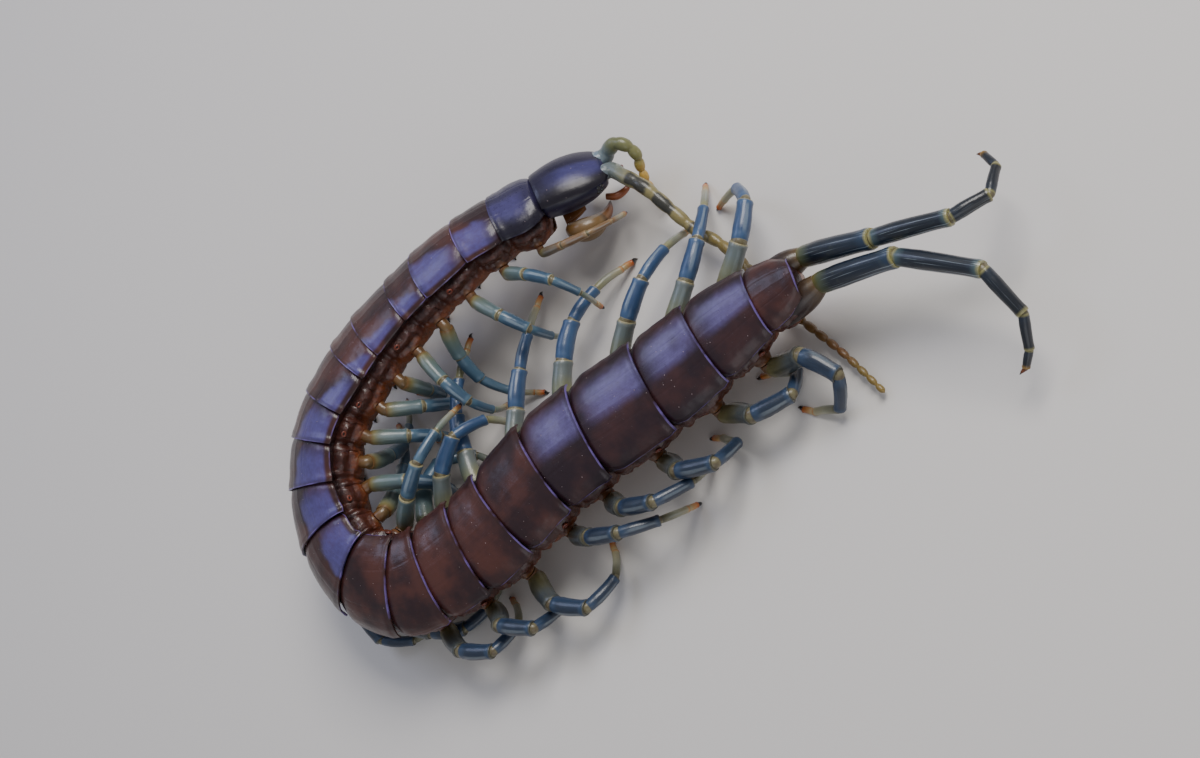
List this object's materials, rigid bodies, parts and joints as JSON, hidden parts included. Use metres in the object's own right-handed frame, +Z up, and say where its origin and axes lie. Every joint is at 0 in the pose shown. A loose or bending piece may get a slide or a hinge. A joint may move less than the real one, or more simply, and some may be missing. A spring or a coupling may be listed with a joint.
{
  "type": "giant centipede",
  "caption": "Life-size model of a giant centipede standing in a tight curve, with raised legs, long antennae and trailing last legs.",
  "frame": {"origin": "on the floor, under the centre of the model's box", "axes": "+Z up; +X towards the tail's end of the curve, away from the bend; the head end lies on the -X side of the middle and points to +Y"},
  "size_m": [0.0626, 0.0512, 0.0117],
  "materials": {
    "trunk_shell": "dark purple-brown chitin, smooth and glossy",
    "head_shell": "blue-black chitin, polished",
    "walking_leg": "steel-blue and straw chitin, glossy",
    "ultimate_leg": "dark blue-green chitin, glossy",
    "antenna": "olive chitin in rings, satin",
    "mouthpart": "amber chitin, glossy"
  },
  "bodies": {
    "root": {"antenna_left": "antenna", "antenna_right": "antenna", "forcipule_left": "mouthpart", "forcipule_plate": "mouthpart", "forcipule_right": "mouthpart", "head": "head_shell", "leg_left_01": "walking_leg", "leg_left_02": "walking_leg", "leg_left_03": "walking_leg", "leg_left_04": "walking_leg", "leg_left_05": "walking_leg", "leg_left_06": "walking_leg", "leg_left_07": "walking_leg", "leg_left_08": "walking_leg", "leg_left_09": "walking_leg", "leg_left_10": "walking_leg", "leg_left_11": "walking_leg", "leg_left_12": "walking_leg", "leg_left_13": "walking_leg", "leg_left_14": "walking_leg", "leg_left_15": "walking_leg", "leg_left_16": "walking_leg", "leg_left_17": "walking_leg", "leg_left_18": "walking_leg", "leg_left_19": "walking_leg", "leg_left_20": "walking_leg", "leg_left_21": "ultimate_leg", "leg_right_01": "walking_leg", "leg_right_02": "walking_leg", "leg_right_03": "walking_leg", "leg_right_04": "walking_leg", "leg_right_05": "walking_leg", "leg_right_06": "walking_leg", "leg_right_07": "walking_leg", "leg_right_08": "walking_leg", "leg_right_09": "walking_leg", "leg_right_10": "walking_leg", "leg_right_11": "walking_leg", "leg_right_12": "walking_leg", "leg_right_13": "walking_leg", "leg_right_14": "walking_leg", "leg_right_15": "walking_leg", "leg_right_16": "walking_leg", "leg_right_17": "walking_leg", "leg_right_18": "walking_leg", "leg_right_19": "walking_leg", "leg_right_20": "walking_leg", "leg_right_21": "ultimate_leg", "palp_left": "mouthpart", "palp_right": "mouthpart", "trunk_01_03": "trunk_shell", "trunk_04_06": "trunk_shell", "trunk_07_09": "trunk_shell", "trunk_10_12": "trunk_shell", "trunk_13_15": "trunk_shell", "trunk_16_18": "trunk_shell", "trunk_19_21": "trunk_shell"}
  },
  "joints": []
}
